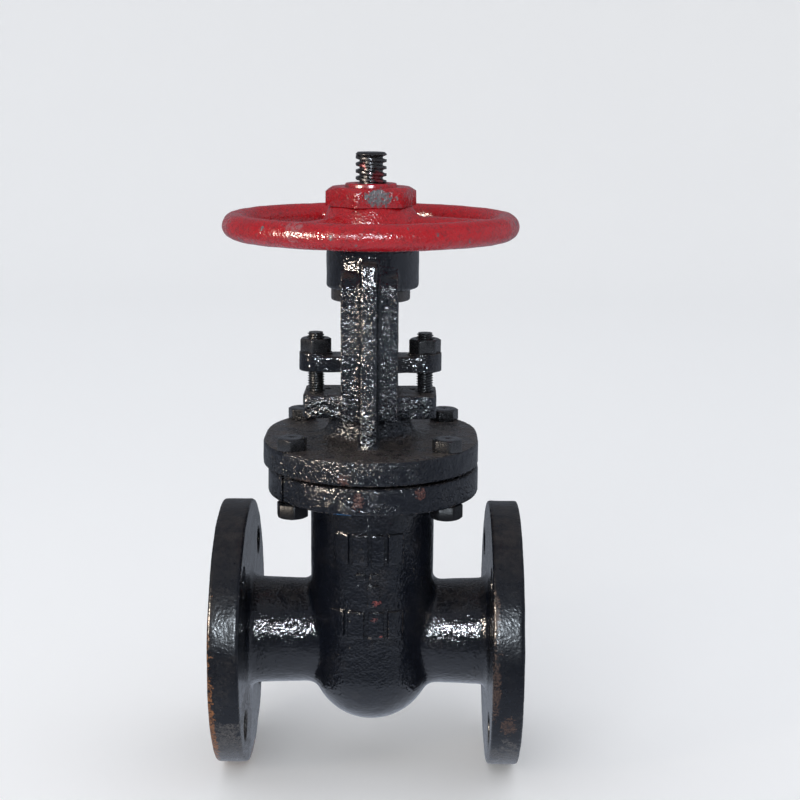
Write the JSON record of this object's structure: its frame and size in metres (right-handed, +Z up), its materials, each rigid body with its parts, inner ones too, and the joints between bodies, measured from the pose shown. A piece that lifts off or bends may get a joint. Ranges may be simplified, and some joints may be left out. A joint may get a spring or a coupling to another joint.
{
  "type": "rising-stem gate valve",
  "caption": "Flanged gate valve with an outside screw and yoke; turning the spoked handwheel raises the stem and wedge and opens the bore.",
  "frame": {"origin": "where the pipe axis and the stem axis cross, at the centre of the bore", "axes": "+Z up along the stem, +X along the pipe towards the outlet flange, -Y towards the front yoke arm"},
  "size_m": [0.182, 0.1732, 0.371],
  "materials": {
    "black_paint": "gloss black paint over sand-cast iron",
    "red_paint": "gloss red paint over cast iron",
    "brass": "machined",
    "stem_nut_brass": "machined, dull",
    "black_steel": "black paint over steel",
    "greased_steel": "dark greased steel",
    "wedge_iron": "cast",
    "graphite": "compressed graphite"
  },
  "bodies": {
    "valve_body": {"body": "black_paint", "bonnet": "black_paint", "bonnet_gasket": "graphite", "seat_ring_inlet": "brass", "seat_ring_outlet": "brass", "backseat_bush": "brass", "packing_spacer": "brass", "gland": "black_paint", "thrust_washer": "brass", "packing_ring_1": "graphite", "packing_ring_2": "graphite", "packing_ring_3": "graphite", "packing_ring_4": "graphite", "bonnet_bolt_1": "black_steel", "bonnet_bolt_2": "black_steel", "bonnet_bolt_3": "black_steel", "bonnet_bolt_4": "black_steel", "bonnet_nut_1": "black_steel", "bonnet_nut_2": "black_steel", "bonnet_nut_3": "black_steel", "bonnet_nut_4": "black_steel", "gland_stud_left": "black_steel", "gland_stud_right": "black_steel", "gland_nut_left": "black_steel", "gland_nut_right": "black_steel"},
    "wheel": {"stem_nut": "stem_nut_brass", "handwheel": "red_paint", "handwheel_key": "black_steel", "lock_nut": "red_paint"},
    "stem_and_wedge": {"stem": "greased_steel", "wedge": "wedge_iron", "wedge_ring_inlet": "brass", "wedge_ring_outlet": "brass"}
  },
  "joints": [
    {"name": "wheel_turn", "type": "hinge", "parent": "valve_body", "child": "wheel", "pos_m": [0, 0, 0.2488], "axis": [0, 0, 1], "range_deg": [0, 5040]},
    {"name": "stem_rise", "type": "slide", "parent": "valve_body", "child": "stem_and_wedge", "axis": [0, 0, 1], "range_m": [0, 0.056]}
  ],
  "couplings": [
    {"joint": "stem_rise", "follows": "wheel_turn", "m_per_rad": 0.00063662}
  ]
}
